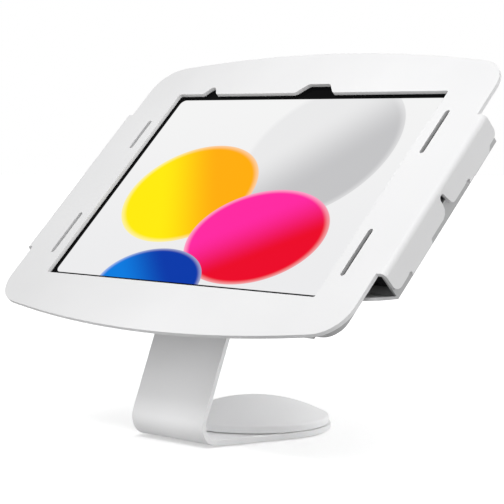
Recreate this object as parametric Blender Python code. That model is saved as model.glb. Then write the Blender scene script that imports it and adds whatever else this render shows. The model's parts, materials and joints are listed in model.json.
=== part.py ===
"""Counter stand with a lockable tablet enclosure.

A bent metal strip joins two rotary heads. The lower head turns about the vertical, on a hub that is fixed to
the counter. The upper head turns the enclosure about the screen's own axis, between landscape and portrait.
The enclosure is a dished rear tray and a sheet faceplate whose folded sides slip over the tray and are held
by a cam lock.

The row frame has +Z up and its origin on the counter, on the swivel axis. The screen frame has its origin at
the middle of the faceplate's window, on its front face, with x to the right, y up the screen and z out of it.
"""

import math

import bmesh
import bpy
from mathutils import Matrix, Vector

MM = 0.001
GAP = 0.2 * MM  # between faces that touch on the real object

# Where the screen sits
SCREEN_SLOPE = math.radians(44.2)  # of the screen plane above the horizontal
SCREEN_CENTRE = Vector((0, -13.0, 150.65)) * MM

# Faceplate, a sheet with two folded sides
SHEET = 2.5 * MM
FACE_HALF_WIDTH = 146.0 * MM
FACE_HALF_HEIGHT = 116.7 * MM
FACE_ARCH_RADIUS = 790.0 * MM  # of the top and bottom edges
FACE_CORNER = 22.0 * MM
WINDOW_WIDTH = 228.6 * MM
WINDOW_HEIGHT = 161.7 * MM
WINDOW_CORNER = 1.0 * MM
# both notches as (x, height above the window's edge), in mm
CAMERA_NOTCH = [(24.2, 0), (22.6, 0.9), (17.4, 7.0), (15.8, 7.8), (-0.2, 7.8)]
CAMERA_NOTCH += [(-1.9, 7.0), (-7.6, 0.9), (-9.4, 0)]
SENSOR_NOTCH = [(-79.0, 0), (-80.2, 1.0), (-83.2, 5.2), (-84.6, 6.2), (-86.8, 6.2)]
SENSOR_NOTCH += [(-88.4, 5.0), (-91.4, 0.8), (-92.6, 0)]
SLOT_X = 123.5 * MM
SLOT_Y = 47.0 * MM
SLOT_LENGTH = 35.0 * MM
SHORT_SLOT_Y = 42.5 * MM  # the upper left slot is shorter than the other three
SHORT_SLOT_LENGTH = 26.0 * MM
SLOT_WIDTH = 3.2 * MM
FOLD_X = 152.0 * MM  # outer face of the folded sides
FOLD_RADIUS = 3.5 * MM
FOLD_HALF_LENGTH = 61.0 * MM
FOLD_DEPTH = 18.0 * MM
FOLD_CUT_DEPTH = 15.5 * MM  # of the shallow cuts in the folded edge

# Rear tray, a dished sheet
TRAY_SHEET = 1.6 * MM
TRAY_FRONT = 3.4 * MM  # depth of its front edge behind the face, clear of the fold inside
TRAY_BACK = 21.0 * MM
PAN_HALF_WIDTH = 126.0 * MM
PAN_HALF_HEIGHT = 92.0 * MM
PAN_CORNER = 12.0 * MM
WING_HALF_WIDTH = FOLD_X - SHEET - 0.3 * MM
WING_HALF_HEIGHT = 60.5 * MM
WING_SLOPE_RUN = 16.5 * MM  # the wing's ends run out at 45 degrees
WING_TUCK = 9.5 * MM  # radius of the curve that takes their front corners in behind the face
LIP_HALF_LENGTH = 109.5 * MM
LIP_HEIGHT = 1.6 * MM
CABLE_WINDOW = (24.0 * MM, 9.0 * MM, 4.0 * MM)  # half width, half height and corner
CABLE_WINDOW_Y = -72.0 * MM
CABLE_SLOT = (-2.6 * MM, 5.4 * MM, 11.0 * MM)  # from y, to y, and depth, in the wings' sides
VENT_X = 92.0 * MM  # the middle of each group of vents
VENT_PITCH = 9.0 * MM
VENTS = 5
VENT_LENGTH = 34.0 * MM
VENT_WIDTH = 3.4 * MM
NUT_HOLE = 3.0 * MM

# Foam
PAD_HALF = 20.0 * MM
PAD_PLACE = (96.0 * MM, 58.0 * MM)
SIDE_BLOCK_HALF_LENGTH = 15.0 * MM
SIDE_BLOCK_DEPTHS = (4.0 * MM, 16.0 * MM)
SIDE_BLOCK_Y = 42.0 * MM
FOAM_GAP = 0.3 * MM

# Tablet
TABLET_WIDTH = 248.6 * MM
TABLET_HEIGHT = 179.5 * MM
TABLET_CORNER = 18.0 * MM
GLASS_FRONT = 2.8 * MM
GLASS_THICKNESS = 0.8 * MM
TABLET_THICKNESS = 7.0 * MM

# Arm, one bent strip with a round plate at each end
ARM_SHEET = 3.0 * MM
ARM_HALF_WIDTH = 30.5 * MM
ARM_LEAN = math.radians(22.2)  # of the upright stretch, from the vertical
ARM_UNDERSIDE = 0.7 * MM
ARM_LOW_BEND = Vector((0, -62.5, 12.7)) * MM  # centre of the low bend
ARM_LOW_RADIUS = 12.0 * MM  # outer
ARM_HIGH_RADIUS = 24.0 * MM  # outer
ROUND_PLATE = 47.2 * MM  # radius of both round ends

# Rotary heads: heights are above the arm plate's outer face
BORE = 31.0 * MM
BUSH_INNER = 29.4 * MM
BUSH_OUTER = BORE - GAP
HUB = 29.0 * MM
HUB_TOP = 4.4 * MM
GLIDE_INNER = 31.5 * MM
GLIDE_OUTER = 37.5 * MM
GLIDE_FROM = ARM_SHEET + GAP
GLIDE_THICKNESS = 0.5 * MM
SPRING_FROM = 3.85 * MM
SPRING_WAVE = 0.1 * MM
SPRING_THICKNESS = 0.35 * MM
RETAINER = 38.0 * MM
RETAINER_FROM = 4.6 * MM
RETAINER_THICKNESS = 1.6 * MM
COVER = 45.9 * MM
COVER_FROM = 3.4 * MM
COVER_TOP = 19.2 * MM
COVER_DOME = 94.9 * MM  # radius of the dome's curve
COVER_DOME_EDGE = 44.5 * MM  # radius at which the dome rounds into the skirt
COVER_WALL = 1.2 * MM
COVER_GRIP_WALL = 1.2 * MM
HUB_SCREW_CIRCLE = 20.0 * MM

# Enclosure's side of the upper head, as depths behind the face
VESA_FROM = TRAY_BACK + GAP
VESA_THICKNESS = 2.5 * MM
VESA_HALF_WIDTH = 58.0 * MM
VESA_PITCH = 50.0 * MM  # half of the 100 mm hole spacing
ARM_HEAD_FROM = VESA_FROM + VESA_THICKNESS + 1.2 * MM
NUT_BORE = 2.0 * MM
NUT_HEIGHT = 2.4 * MM
STOP_RADIUS = 41.0 * MM
STOP_PIN = 1.5 * MM
STOP_HALF_ANGLE = 94.0  # degrees: a quarter turn each way, and the pin's own width

# Cam lock in the left wing
LOCK_X = -137.5 * MM
LOCK_BARREL = 6.5 * MM
LOCK_PLUG = 4.6 * MM
LOCK_COLLAR = 9.0 * MM
LOCK_COLLAR_HEIGHT = 2.2 * MM
LOCK_NUT = 9.2 * MM  # to the hexagon's corners
LOCK_NUT_HEIGHT = 3.7 * MM
KEYWAY = (0.7 * MM, 3.2 * MM, 8.2 * MM)  # half width, half length and depth below the collar's top
CAM_SCREW_SHANK = 1.7 * MM
CAM_FROM = 6.0 * MM
CAM_THICKNESS = 1.2 * MM
CAM_REACH = 13.8 * MM
CAM_HALF_WIDTH = 3.5 * MM

FOOT_PAD_THICKNESS = 0.6 * MM
ROUND_STEPS = 36
SCREW_STEPS = 12


# ---------------------------------------------------------------- outlines


def arc(centre, radius, start, end, steps):
    """Points round a centre from one angle to another, in degrees, both ends included."""
    angles = [math.radians(start + (end - start) * i / steps) for i in range(steps + 1)]
    return [(centre[0] + radius * math.cos(a), centre[1] + radius * math.sin(a)) for a in angles]


def rounded_rectangle(half_width, half_height, radius, steps=6, centre=(0, 0)):
    points = []
    for sx, sy, start in ((1, 1, 0), (-1, 1, 90), (-1, -1, 180), (1, -1, 270)):
        corner = (centre[0] + sx * (half_width - radius), centre[1] + sy * (half_height - radius))
        points += arc(corner, radius, start, start + 90, steps)
    return points


def upright_slot(x, y, length, width, steps=6):
    reach = (length - width) / 2
    return arc((x, y + reach), width / 2, 0, 180, steps) + arc((x, y - reach), width / 2, 180, 360, steps)


def face_outline():
    """The faceplate's flat part: arched top and bottom, round corners, and a tongue at each fold."""
    arch_y = FACE_HALF_HEIGHT - FACE_ARCH_RADIUS
    corner_x = FACE_HALF_WIDTH - FACE_CORNER
    corner_y = arch_y + math.sqrt((FACE_ARCH_RADIUS - FACE_CORNER) ** 2 - corner_x**2)
    meet = math.degrees(math.atan2(corner_y - arch_y, corner_x))
    tongue_x = FOLD_X - FOLD_RADIUS
    quarter = [(tongue_x, FOLD_HALF_LENGTH), (FACE_HALF_WIDTH, FOLD_HALF_LENGTH)]
    quarter += arc((corner_x, corner_y), FACE_CORNER, 0, meet, 9)
    quarter += arc((0, arch_y), FACE_ARCH_RADIUS, meet, 90, 12)[1:]
    top = quarter + [(-x, y) for x, y in reversed(quarter[:-1])]
    return top + [(-x, -y) for x, y in top]


def window_outline():
    """The window, with a wide notch over the camera and a small one over a sensor."""
    half_width, half_height = WINDOW_WIDTH / 2, WINDOW_HEIGHT / 2
    corners = rounded_rectangle(half_width, half_height, WINDOW_CORNER, 2)
    notches = [(x * MM, y * MM) for x, y in CAMERA_NOTCH + SENSOR_NOTCH]
    return corners[:3] + [(x, half_height + y) for x, y in notches] + corners[3:]


def fold_outline(with_cable_slot):
    """A folded side as (y, depth) points, from the top of the fold to its bottom, in metres."""
    half, deep, shallow = FOLD_HALF_LENGTH / MM, FOLD_DEPTH / MM, FOLD_CUT_DEPTH / MM
    points = [(half, 10.5)] + arc((half - 4.5, shallow - 4.5), 4.5, 15, 75, 3)
    points += [(52.0, shallow), (49.0, deep), (25.6, deep)]
    points += arc((24.3, shallow + 0.7), 1.3, 60, -120, 5)
    if with_cable_slot:
        points += [(20.0, shallow)] + arc((8.4, shallow - 3.4), 3.4, 90, 180, 4)
        points += [(3.9, 8.0)] + arc((1.4, 6.4), 2.2, 0, -180, 7) + [(-0.9, 9.5)]
        points += [(-1.6, 12.2), (-3.4, 14.4), (-6.2, shallow)]
    points += [(-20.6, shallow), (-22.0, deep), (-44.6, deep)]
    points += arc((-45.9, shallow + 0.7), 1.3, 60, -120, 5)
    points += [(-49.5, shallow)] + arc((5.5 - half, shallow - 5.5), 5.5, 90, 180, 5)
    return [(y * MM, depth * MM) for y, depth in points]


# ---------------------------------------------------------------- meshes


def new_face(mesh, points):
    return mesh.faces.new([mesh.verts.new(p) for p in points])


def cleaned(mesh):
    bmesh.ops.remove_doubles(mesh, verts=mesh.verts, dist=1e-7)
    bmesh.ops.recalc_face_normals(mesh, faces=mesh.faces)
    return mesh


def prism(outline, low, high, along="z"):
    """An outline extruded from low to high. Along z it is (x, y), and along x it is (y, z)."""
    mesh = bmesh.new()
    if along == "z":
        base = [(a, b, low) for a, b in outline]
        step = Vector((0, 0, high - low))
    else:
        base = [(low, a, b) for a, b in outline]
        step = Vector((high - low, 0, 0))
    made = bmesh.ops.extrude_face_region(mesh, geom=[new_face(mesh, base)])
    moved = [v for v in made["geom"] if isinstance(v, bmesh.types.BMVert)]
    bmesh.ops.translate(mesh, verts=moved, vec=step)
    return cleaned(mesh)


def block(low, high):
    (x0, y0, z0), (x1, y1, z1) = low, high
    return prism([(x0, y0), (x1, y0), (x1, y1), (x0, y1)], z0, z1)


def turned(profile, steps=ROUND_STEPS, closed=True):
    """A profile of (radius, height) points spun about Z. An open profile starts and ends on the axis."""
    mesh = bmesh.new()
    verts = [mesh.verts.new((radius, 0, height)) for radius, height in profile]
    edges = [mesh.edges.new(pair) for pair in zip(verts, verts[1:])]
    if closed:
        edges.append(mesh.edges.new((verts[-1], verts[0])))
    bmesh.ops.spin(
        mesh,
        geom=verts + edges,
        angle=math.tau,
        steps=steps,
        axis=(0, 0, 1),
        cent=(0, 0, 0),
        use_merge=True,
    )
    return cleaned(mesh)


def disc(radius, low, high, steps=ROUND_STEPS):
    return turned([(0, low), (radius, low), (radius, high), (0, high)], steps, closed=False)


def ring(inner, outer, low, high, steps=ROUND_STEPS):
    return turned([(inner, low), (outer, low), (outer, high), (inner, high)], steps)


def copied(mesh, places):
    """One mesh holding a copy of the given one at each place."""
    single = bpy.data.meshes.new("single")
    mesh.to_mesh(single)
    mesh.free()
    group = bmesh.new()
    for place in places:
        first = len(group.verts)
        group.from_mesh(single)
        group.verts.ensure_lookup_table()
        bmesh.ops.translate(group, verts=group.verts[first:], vec=place)
    bpy.data.meshes.remove(single)
    return group


def placed_row(name, mesh, material, parent, places):
    """One node at each place, all with the same mesh."""
    first = node(f"{name}_1", mesh, material, parent)
    first.location = places[0]
    for number, place in enumerate(places[1:], 2):
        again = bpy.data.objects.new(f"{name}_{number}", first.data)
        bpy.context.scene.collection.objects.link(again)
        again.parent = parent
        again.location = place


def countersunk_screw(length, shank=1.8 * MM, head=3.6 * MM, head_height=1.3 * MM):
    """A screw with the top of its head at height 0 and a round-bottomed socket in it."""
    socket, socket_depth = 1.2 * MM, 1.0 * MM
    profile = [(0, -socket_depth), (socket, -socket_depth), (socket, 0), (head, 0), (head, -0.2 * MM)]
    profile += [(shank, -head_height - 0.2 * MM), (shank, -length), (0, -length)]
    return turned(profile, SCREW_STEPS, closed=False)


def countersunk_hole(depth, shank=2.2 * MM, head=4.0 * MM, head_height=1.5 * MM):
    above = 1 * MM
    profile = [(0, above), (head, above), (head, -0.2 * MM)]
    profile += [(shank, -head_height - 0.2 * MM), (shank, -depth), (0, -depth)]
    return turned(profile, SCREW_STEPS, closed=False)


# ---------------------------------------------------------------- objects


def clear_scene():
    for obj in list(bpy.data.objects):
        bpy.data.objects.remove(obj, do_unlink=True)


def make_material(name, colour, roughness, metallic=0.0):
    material = bpy.data.materials.new(name)
    material.use_nodes = True
    shader = material.node_tree.nodes["Principled BSDF"]
    shader.inputs["Base Color"].default_value = (*colour, 1)
    shader.inputs["Roughness"].default_value = roughness
    shader.inputs["Metallic"].default_value = metallic
    return material


def node(name, mesh, material, parent):
    """A named solid of the object, in its parent's frame."""
    data = bpy.data.meshes.new(name)
    mesh.to_mesh(data)
    mesh.free()
    data.shade_smooth()
    data.set_sharp_from_angle(angle=math.radians(30))
    obj = bpy.data.objects.new(name, data)
    bpy.context.scene.collection.objects.link(obj)
    obj.parent = parent
    if material:
        data.materials.append(material)
    return obj


def shaped(target, mesh, operation="DIFFERENCE"):
    """Cuts a helper's mesh from the target, or joins it on."""
    number = len(target.modifiers)
    helper = node(f"{target.name}_{operation.lower()}_{number}", mesh, None, target.parent)
    helper.hide_render = True
    helper.display_type = "WIRE"
    modifier = target.modifiers.new(helper.name, "BOOLEAN")
    modifier.operation = operation
    modifier.object = helper
    return target


def empty(name, matrix, parent=None):
    axis = bpy.data.objects.new(name, None)
    bpy.context.scene.collection.objects.link(axis)
    axis.parent = parent
    axis.matrix_local = matrix
    return axis


def make_materials():
    return {
        "white_coat": make_material("white_coat", (0.86, 0.86, 0.86), 0.45),
        "tray_coat": make_material("tray_coat", (0.7, 0.7, 0.7), 0.5),
        "inner_coat": make_material("inner_coat", (0.78, 0.78, 0.79), 0.5),
        "steel": make_material("steel", (0.55, 0.55, 0.56), 0.35, 1.0),
        "zinc": make_material("zinc", (0.62, 0.62, 0.64), 0.4, 1.0),
        "glide": make_material("glide", (0.75, 0.74, 0.7), 0.5),
        "foam": make_material("foam", (0.06, 0.06, 0.065), 0.95),
        "rubber": make_material("rubber", (0.05, 0.05, 0.05), 0.9),
        "aluminium": make_material("aluminium", (0.72, 0.73, 0.75), 0.35, 1.0),
        "glass": make_material("glass", (0.01, 0.01, 0.012), 0.08),
        "chrome": make_material("chrome", (0.8, 0.8, 0.82), 0.15, 1.0),
    }


# ---------------------------------------------------------------- arm


def arm_rows():
    """Rows along the arm's outer face: (y, z) in the row frame, the outward direction, and the half width."""
    lean = Vector((0, math.sin(ARM_LEAN), math.cos(ARM_LEAN)))
    up_screen = Vector((0, math.cos(SCREEN_SLOPE), math.sin(SCREEN_SLOPE)))
    rows = []

    def add(point, outward, half_width):
        rows.append((point, outward, half_width))

    # low round plate and its taper, lying flat
    taper_end = ARM_LOW_BEND.y
    meet = tangent_angle(-taper_end)
    down = Vector((0, 0, -1))
    steps = 20
    for i in range(steps + 1):
        angle = meet * i / steps
        add(Vector((0, ROUND_PLATE * math.cos(angle), ARM_UNDERSIDE)), down, ROUND_PLATE * math.sin(angle))
    add(Vector((0, taper_end, ARM_UNDERSIDE)), down, ARM_HALF_WIDTH)

    # low bend
    turn = math.pi / 2 + ARM_LEAN
    steps = 14
    for i in range(1, steps + 1):
        angle = turn * i / steps
        outward = Vector((0, -math.sin(angle), -math.cos(angle)))
        add(ARM_LOW_BEND + outward * ARM_LOW_RADIUS, outward, ARM_HALF_WIDTH)

    # high bend, whose two tangent lines are the upright stretch and the head's outer face
    front = Vector((0, -math.sin(SCREEN_SLOPE), math.cos(SCREEN_SLOPE)))
    outward_low = Vector((0, -math.cos(ARM_LEAN), math.sin(ARM_LEAN)))
    start = ARM_LOW_BEND + outward_low * ARM_LOW_RADIUS
    head_face = SCREEN_CENTRE - front * ARM_HEAD_FROM
    along = (head_face - start).dot(front) / lean.dot(front)
    vertex = start + lean * along
    turn = math.pi / 2 - ARM_LEAN - SCREEN_SLOPE
    reach = ARM_HIGH_RADIUS * math.tan(turn / 2)
    centre = vertex - lean * reach - outward_low * ARM_HIGH_RADIUS
    steps = 5
    for i in range(steps + 1):
        angle = turn * i / steps
        outward = Matrix.Rotation(-angle, 3, "X") @ outward_low
        add(centre + outward * ARM_HIGH_RADIUS, outward, ARM_HALF_WIDTH)

    # head round plate
    to_bend = (head_face - rows[-1][0]).dot(up_screen)
    meet = tangent_angle(to_bend)
    steps = 20
    for i in range(steps + 1):
        angle = meet * (steps - i) / steps
        add(head_face + up_screen * ROUND_PLATE * math.cos(angle), front, ROUND_PLATE * math.sin(angle))
    return rows


def tangent_angle(distance):
    """Where a taper meets a round plate, as an angle from the plate's far end, for a strip that far away."""
    span = math.hypot(distance, ARM_HALF_WIDTH)
    return math.pi - math.atan2(ARM_HALF_WIDTH, distance) - math.acos(ROUND_PLATE / span)


def arm_mesh():
    mesh = bmesh.new()
    loops = []
    for point, outward, half_width in arm_rows():
        inner = point - outward * ARM_SHEET
        corners = []
        for place, side in ((point, -1), (point, 1), (inner, 1), (inner, -1)):
            corners.append(mesh.verts.new((side * half_width, place.y, place.z)))
        loops.append(corners)
    for low, high in zip(loops, loops[1:]):
        for i in range(4):
            j = (i + 1) % 4
            mesh.faces.new((low[i], low[j], high[j], high[i]))
    bmesh.ops.dissolve_degenerate(mesh, dist=1e-7, edges=mesh.edges)
    return cleaned(mesh)


def make_arm(materials, base_axis, head_axis):
    arm = node("arm_strip", arm_mesh(), materials["white_coat"], None)
    for axis in (base_axis, head_axis):
        bore = disc(BORE, -2 * MM, ARM_SHEET + 2 * MM)
        bmesh.ops.transform(bore, matrix=axis.matrix_world, verts=bore.verts)
        shaped(arm, bore)
    pin_hole = disc(STOP_PIN + GAP, -1 * MM, ARM_SHEET + 1 * MM, SCREW_STEPS)
    pin_place = Matrix.Translation((0, -STOP_RADIUS, 0))
    bmesh.ops.transform(pin_hole, matrix=head_axis.matrix_world @ pin_place, verts=pin_hole.verts)
    shaped(arm, pin_hole)
    pin = disc(STOP_PIN, -3.2 * MM, ARM_SHEET, SCREW_STEPS)
    bmesh.ops.translate(pin, verts=pin.verts, vec=(0, -STOP_RADIUS, 0))
    node("head_stop_pin", pin, materials["steel"], head_axis)


# ---------------------------------------------------------------- rotary heads


def cover_profile():
    """A dome that rounds into a skirt, and an inner ring that grips the retainer's edge."""

    def dome(radius, inset):
        return COVER_TOP - COVER_DOME + math.sqrt((COVER_DOME - inset) ** 2 - radius**2)

    edge = dome(COVER_DOME_EDGE, 0)
    outer = [(COVER_DOME_EDGE * i / 8, dome(COVER_DOME_EDGE * i / 8, 0)) for i in range(9)]
    rim = [(COVER - 0.5 * MM, edge - 0.5 * MM), (COVER, edge - 1.4 * MM), (COVER, COVER_FROM)]
    inside = COVER - COVER_WALL
    shoulder = inside - 1.5 * MM
    inner = [(inside, COVER_FROM), (inside, edge - 2.0 * MM)]
    inner += [(shoulder, dome(shoulder, COVER_WALL) - 0.2 * MM)]
    grip = RETAINER + 0.4 * MM
    grip_outer = grip + COVER_GRIP_WALL
    grip_low = RETAINER_FROM - 0.6 * MM
    inner += [(grip_outer, dome(grip_outer, COVER_WALL)), (grip_outer, grip_low), (grip, grip_low)]
    inner += [(grip * i / 6, dome(grip * i / 6, COVER_WALL)) for i in range(6, -1, -1)]
    return outer + rim + inner


def wave_ring():
    """A thin spring washer with three waves."""
    mesh = ring(GLIDE_INNER + 0.6 * MM, GLIDE_OUTER - 0.6 * MM, SPRING_FROM, SPRING_FROM + SPRING_THICKNESS)
    for vert in mesh.verts:
        turn = math.atan2(vert.co.y, vert.co.x)
        vert.co.z += SPRING_WAVE * (1 - math.cos(3 * turn)) / 2
    return mesh


def hub_screw_places(height):
    return [
        Vector((HUB_SCREW_CIRCLE * math.cos(a), HUB_SCREW_CIRCLE * math.sin(a), height))
        for a in (math.radians(45 + 90 * i) for i in range(4))
    ]


def make_rotary_head(prefix, materials, axis, hub_from):
    """The pieces that clamp a round plate of the arm, stacked along the axis from the plate's outer face."""
    bush = ring(BUSH_INNER, BUSH_OUTER, 0.05 * MM, ARM_SHEET - 0.05 * MM)
    node(f"{prefix}_bush", bush, materials["glide"], axis)
    glide = ring(GLIDE_INNER, GLIDE_OUTER, GLIDE_FROM, GLIDE_FROM + GLIDE_THICKNESS)
    node(f"{prefix}_glide_ring", glide, materials["glide"], axis)
    node(f"{prefix}_spring_washer", wave_ring(), materials["steel"], axis)

    retainer_top = RETAINER_FROM + RETAINER_THICKNESS
    screw_length = retainer_top - hub_from - 0.6 * MM
    hub = node(f"{prefix}_hub", disc(HUB, hub_from, HUB_TOP), materials["aluminium"], axis)
    thread = disc(2.0 * MM, hub_from - 1 * MM, HUB_TOP + 1 * MM, SCREW_STEPS)
    shaped(hub, copied(thread, hub_screw_places(0)))
    plate = disc(RETAINER, RETAINER_FROM, retainer_top)
    retainer = node(f"{prefix}_retainer", plate, materials["steel"], axis)
    shaped(retainer, copied(countersunk_hole(4 * MM), hub_screw_places(retainer_top)))
    screw = countersunk_screw(screw_length)
    placed_row(f"{prefix}_hub_screw", screw, materials["zinc"], axis, hub_screw_places(retainer_top))
    node(f"{prefix}_cover", turned(cover_profile(), closed=False), materials["white_coat"], axis)


def make_vesa_plate(materials, screen, head_axis):
    low, high = -VESA_FROM - VESA_THICKNESS, -VESA_FROM
    outline = rounded_rectangle(VESA_HALF_WIDTH, VESA_HALF_WIDTH, 10 * MM, 5)
    plate = node("vesa_plate", prism(outline, low, high), materials["inner_coat"], screen)
    screw_places = vesa_corners(low)
    shaped(plate, copied(turned_round(countersunk_hole(4 * MM)), screw_places))
    # the stop groove is centred on the pin, which sits below the pivot
    first, last = -90 - STOP_HALF_ANGLE, -90 + STOP_HALF_ANGLE
    groove = arc((0, 0), STOP_RADIUS + 2 * MM, first, last, 32)
    groove += arc((0, 0), STOP_RADIUS - 2 * MM, last, first, 32)
    shaped(plate, prism(groove, low - 1 * MM, high + 1 * MM))
    placed_row("vesa_screw", turned_round(countersunk_screw(8 * MM)), materials["zinc"], screen, screw_places)
    placed_row("clinch_nut", clinch_nut(), materials["zinc"], screen, vesa_corners())
    glide = ring(GLIDE_INNER, GLIDE_OUTER, -1.0 * MM, -GAP)
    node("head_front_glide_ring", glide, materials["glide"], head_axis)


def clinch_nut():
    """A flanged nut inside the tray, whose collar stands in a hole of the tray's back."""
    inside = -TRAY_BACK + TRAY_SHEET
    collar, flange = NUT_HOLE - GAP, NUT_HOLE + 1.2 * MM
    profile = [(NUT_BORE, -TRAY_BACK + GAP), (collar, -TRAY_BACK + GAP), (collar, inside + 0.1 * MM)]
    profile += [(flange, inside + 0.1 * MM), (flange, inside + NUT_HEIGHT), (NUT_BORE, inside + NUT_HEIGHT)]
    return turned(profile, SCREW_STEPS)


def vesa_corners(height=0):
    return [Vector((sx * VESA_PITCH, sy * VESA_PITCH, height)) for sx in (-1, 1) for sy in (-1, 1)]


def turned_round(mesh):
    """A screw or its hole, turned to enter from behind."""
    bmesh.ops.transform(mesh, matrix=Matrix.Rotation(math.pi, 4, "X"), verts=mesh.verts)
    return mesh


# ---------------------------------------------------------------- enclosure


def faceplate_sheet():
    """The faceplate's front face with its folded sides, as an open sheet."""
    mesh = bmesh.new()
    flat = new_face(mesh, [(x, y, 0) for x, y in face_outline()])
    tongue_x = FOLD_X - FOLD_RADIUS
    for side, with_cable_slot in ((1, True), (-1, False)):
        edge = next(e for e in flat.edges if all(abs(v.co.x - side * tongue_x) < 1e-6 for v in e.verts))
        ends = sorted(edge.verts, key=lambda v: -v.co.y)
        for x, depth in arc((tongue_x, FOLD_RADIUS), FOLD_RADIUS, -90, 0, 5)[1:]:
            beyond = [mesh.verts.new((side * x, v.co.y, -depth)) for v in ends]
            mesh.faces.new((ends[0], ends[1], beyond[1], beyond[0]))
            ends = beyond
        outline = fold_outline(with_cable_slot)
        edge_verts = [mesh.verts.new((side * FOLD_X, y, -d)) for y, d in outline]
        mesh.faces.new([ends[0]] + edge_verts + [ends[1]])
    bmesh.ops.recalc_face_normals(mesh, faces=mesh.faces)
    if flat.normal.z < 0:
        bmesh.ops.reverse_faces(mesh, faces=mesh.faces)
    return mesh


def make_faceplate(materials, screen):
    plate = node("faceplate", faceplate_sheet(), materials["white_coat"], screen)
    solidify = plate.modifiers.new("sheet", "SOLIDIFY")
    solidify.thickness = SHEET
    solidify.offset = -1
    solidify.use_even_offset = True
    low, high = -SHEET - 1 * MM, 1 * MM
    shaped(plate, prism(window_outline(), low, high))
    slots = bmesh.new()
    for x, y in ((-SLOT_X, -SLOT_Y), (SLOT_X, -SLOT_Y), (SLOT_X, SLOT_Y)):
        add_mesh(slots, prism(upright_slot(x, y, SLOT_LENGTH, SLOT_WIDTH), low, high))
    short_slot = upright_slot(-SLOT_X, SHORT_SLOT_Y, SHORT_SLOT_LENGTH, SLOT_WIDTH)
    add_mesh(slots, prism(short_slot, low, high))
    shaped(plate, slots)
    shaped(plate, cam_slot(-FOLD_X, SHEET))


def add_mesh(group, mesh):
    single = bpy.data.meshes.new("single")
    mesh.to_mesh(single)
    mesh.free()
    group.from_mesh(single)
    bpy.data.meshes.remove(single)


def wing_section(inset):
    """The wings' profile as (y, z): an upright upper end, and a lower one that runs out at 45 degrees."""
    front = -TRAY_FRONT + (2 * MM if inset else 0)
    back = -TRAY_BACK + inset
    upper = WING_HALF_HEIGHT - inset
    lower = WING_HALF_HEIGHT - inset * math.tan(math.pi / 8)  # where an inset slope meets the inset back
    run_end = WING_HALF_HEIGHT + WING_SLOPE_RUN - inset
    foot = back + run_end - lower
    return [(upper, back), (upper, front), (-run_end, front), (-run_end, foot), (-lower, back)]


def make_tray(materials, screen):
    back = -TRAY_BACK
    pan = rounded_rectangle(PAN_HALF_WIDTH, PAN_HALF_HEIGHT, PAN_CORNER, 6)
    tray = node("rear_tray", prism(pan, back, -TRAY_FRONT), materials["tray_coat"], screen)
    wings = prism(wing_section(0), -WING_HALF_WIDTH, WING_HALF_WIDTH, along="x")
    shaped(tray, wings, "UNION")
    lip_y = PAN_HALF_HEIGHT + LIP_HEIGHT
    lip = block((-LIP_HALF_LENGTH, -lip_y, back), (LIP_HALF_LENGTH, lip_y, back + TRAY_SHEET))
    shaped(tray, lip, "UNION")

    inner_x, inner_y = PAN_HALF_WIDTH - TRAY_SHEET, PAN_HALF_HEIGHT - TRAY_SHEET
    inner_pan = rounded_rectangle(inner_x, inner_y, PAN_CORNER - TRAY_SHEET, 6)
    shaped(tray, prism(inner_pan, back + TRAY_SHEET, 0))
    inner_wing_x = WING_HALF_WIDTH - TRAY_SHEET
    shaped(tray, prism(wing_section(TRAY_SHEET), -inner_wing_x, inner_wing_x, along="x"))

    # the wings' sides stop at the end of the fold, which leaves a three-sided opening at each lower corner
    for side in (-1, 1):
        low_x, high_x = sorted((side * (inner_wing_x - 1 * MM), side * (WING_HALF_WIDTH + 1 * MM)))
        shaped(tray, prism(corner_opening(), low_x, high_x, along="x"))
        shaped(tray, corner_tuck(side))
    make_tray_holes(tray)


def corner_opening():
    """The three-sided opening of a wing's corner as (y, z), between the fold's end and the sloping wall."""
    near = -WING_HALF_HEIGHT
    far = near - WING_SLOPE_RUN
    deep = -TRAY_BACK + TRAY_SHEET * math.sqrt(2)
    return [(near, deep), (far, deep + WING_SLOPE_RUN), (far - 3 * MM, 0), (near, 0)]


def corner_tuck(side):
    """Takes a wing's lower front corner in behind the face, in a curve from its side."""
    outer = WING_HALF_WIDTH + 0.1 * MM
    centre = (outer - WING_TUCK, -TRAY_FRONT - WING_TUCK)
    curve = arc(centre, WING_TUCK, 0, 90, 5)
    beyond = [(centre[0], 0), (outer + 2 * MM, 0), (outer + 2 * MM, centre[1])]
    section = [(side * x, z) for x, z in curve + beyond]
    mesh = prism(section, -WING_HALF_HEIGHT - 30 * MM, -WING_HALF_HEIGHT - 1 * MM)
    to_depth = Matrix(((1, 0, 0, 0), (0, 0, 1, 0), (0, 1, 0, 0), (0, 0, 0, 1)))
    bmesh.ops.transform(mesh, matrix=to_depth, verts=mesh.verts)
    bmesh.ops.recalc_face_normals(mesh, faces=mesh.faces)
    return mesh


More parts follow.
